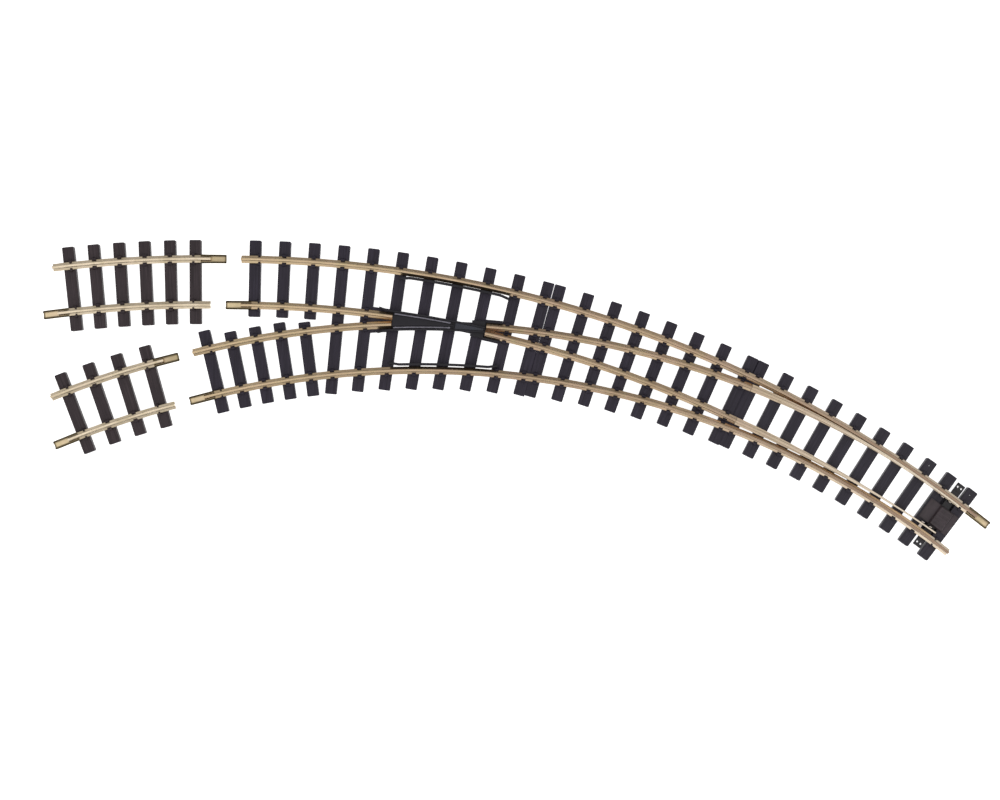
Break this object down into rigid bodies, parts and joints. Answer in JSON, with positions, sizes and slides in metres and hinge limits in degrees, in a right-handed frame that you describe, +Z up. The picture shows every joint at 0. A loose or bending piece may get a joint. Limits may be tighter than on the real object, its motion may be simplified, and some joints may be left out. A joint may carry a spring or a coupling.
{
  "type": "curved model railway turnout",
  "caption": "Curved turnout for a 45 mm gauge model railway, with brass rails, moving blades on a throw bar, a plastic frog and two short adapter tracks.",
  "frame": {"origin": "the middle of the footprint of the whole set, on the baseboard", "axes": "+Z up; the outer leg leaves at the left along -X and the toe is at the right, heading down to the right in the XY plane"},
  "size_m": [0.9918, 0.3284, 0.0206],
  "materials": {
    "rail_brass": "drawn rail, lightly tarnished, worn bright on the head",
    "joiner_brass": "folded sheet, satin",
    "sleeper_plastic": "moulded with wood grain",
    "adapter_sleeper_plastic": "moulded with wood grain, slightly browner",
    "frog_plastic": "plain moulded",
    "throat_plastic": "smooth blue-black",
    "throw_bar_plastic": "plain moulded",
    "cover_plastic": "ribbed, brownish black",
    "plated_steel": "plated strip"
  },
  "bodies": {
    "turnout": {"sleeper_frame_legs": "sleeper_plastic", "sleeper_frame_middle": "sleeper_plastic", "sleeper_frame_switch": "sleeper_plastic", "stock_rail_outer": "rail_brass", "stock_rail_inner": "rail_brass", "closure_rail_outer": "rail_brass", "closure_rail_inner": "rail_brass", "leg_rail_outer": "rail_brass", "leg_rail_inner": "rail_brass", "frog_body": "frog_plastic", "frog_strip_outer": "plated_steel", "frog_strip_inner": "plated_steel", "frog_throat_plate": "throat_plastic", "check_rail_outer": "frog_plastic", "check_rail_inner": "frog_plastic", "joiner_outer_leg": "joiner_brass", "joiner_inner_leg": "joiner_brass", "joiner_toe": "joiner_brass", "toe_cover": "cover_plastic", "detent_spring": "plated_steel", "feed_strip_leg_outer": "plated_steel", "feed_strip_leg_inner": "plated_steel", "feed_strip_middle_outer": "plated_steel", "feed_strip_middle_inner": "plated_steel"},
    "throw_bar": {"throw_bar": "throw_bar_plastic"},
    "blade_outer": {"blade_outer": "rail_brass", "blade_lug_outer": "plated_steel", "blade_tab_outer": "plated_steel", "heel_pin_outer": "plated_steel"},
    "blade_inner": {"blade_inner": "rail_brass", "blade_lug_inner": "plated_steel", "blade_tab_inner": "plated_steel", "heel_pin_inner": "plated_steel"},
    "adapter_outer": {"adapter_outer_sleepers": "adapter_sleeper_plastic", "adapter_outer_rail_far": "rail_brass", "adapter_outer_rail_near": "rail_brass", "adapter_outer_joiner_right": "joiner_brass", "adapter_outer_joiner_left": "joiner_brass"},
    "adapter_inner": {"adapter_inner_sleepers": "adapter_sleeper_plastic", "adapter_inner_rail_far": "rail_brass", "adapter_inner_rail_near": "rail_brass", "adapter_inner_joiner_right": "joiner_brass", "adapter_inner_joiner_left": "joiner_brass"}
  },
  "joints": [
    {"name": "throw_bar_slide", "type": "slide", "parent": "turnout", "child": "throw_bar", "axis": [-0.5891, -0.8081, 0], "range_m": [0, 0.0058]},
    {"name": "blade_outer_swing", "type": "hinge", "parent": "turnout", "child": "blade_outer", "pos_m": [0.24682, 0.01424, 0.0118], "axis": [0, 0, -1], "range_deg": [0, 1.43]},
    {"name": "blade_inner_swing", "type": "hinge", "parent": "turnout", "child": "blade_inner", "pos_m": [0.23044, -0.02043, 0.0118], "axis": [0, 0, -1], "range_deg": [0, 1.43]},
    {"name": "adapter_outer_plug", "type": "slide", "parent": "turnout", "child": "adapter_outer", "axis": [1, 0, 0], "range_m": [0, 0.0312]},
    {"name": "adapter_inner_plug", "type": "slide", "parent": "turnout", "child": "adapter_inner", "axis": [0.9659, 0.2588, 0], "range_m": [0, 0.0312]}
  ],
  "couplings": [
    {"joint": "blade_outer_swing", "follows": "throw_bar_slide", "rad_per_m": 4.2812},
    {"joint": "blade_inner_swing", "follows": "throw_bar_slide", "rad_per_m": 4.2812}
  ]
}
